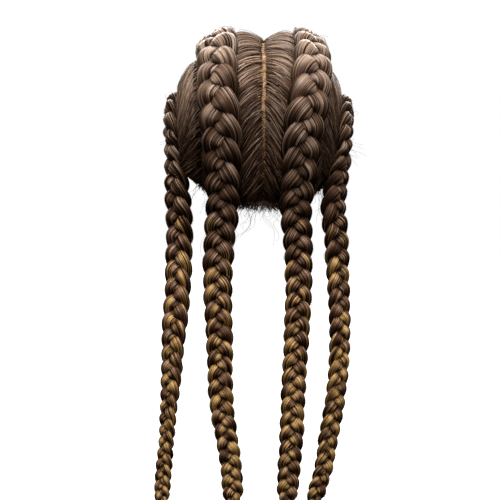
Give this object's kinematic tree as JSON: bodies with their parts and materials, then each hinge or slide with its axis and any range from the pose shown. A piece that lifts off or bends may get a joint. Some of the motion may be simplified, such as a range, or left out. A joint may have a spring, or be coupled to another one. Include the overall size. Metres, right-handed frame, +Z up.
{
  "type": "braided wig",
  "caption": "Braided wig: a net cap with combed, parted hair and thick underhand plaits that run back over the scalp and hang down behind, each tied at its end.",
  "frame": {"origin": "inside of the cap at its crown, where the top of a head sits", "axes": "+Z up, -Y the way the face looks, +X the wearer's left"},
  "size_m": [0.206, 0.2039, 0.5186],
  "materials": {
    "lace_net": "fine tan lace, matt",
    "scalp_hair": "combed synthetic hair, dark ash brown, satin",
    "plait_hair": "plaited synthetic hair, ash brown above and golden brown below, satin",
    "end_band": "small black elastic, matt"
  },
  "bodies": {
    "root": {"net_cap": "lace_net", "hair_section_outer_left": "scalp_hair", "hair_section_inner_left": "scalp_hair", "hair_section_inner_right": "scalp_hair", "hair_section_outer_right": "scalp_hair", "braid_outer_left_strand_a": "plait_hair", "braid_outer_left_strand_b": "plait_hair", "braid_outer_left_strand_c": "plait_hair", "braid_inner_left_strand_a": "plait_hair", "braid_inner_left_strand_b": "plait_hair", "braid_inner_left_strand_c": "plait_hair", "braid_inner_right_strand_a": "plait_hair", "braid_inner_right_strand_b": "plait_hair", "braid_inner_right_strand_c": "plait_hair", "braid_outer_right_strand_a": "plait_hair", "braid_outer_right_strand_b": "plait_hair", "braid_outer_right_strand_c": "plait_hair", "end_tie_outer_left": "end_band", "end_tie_inner_left": "end_band", "end_tie_inner_right": "end_band", "end_tie_outer_right": "end_band"}
  },
  "joints": []
}
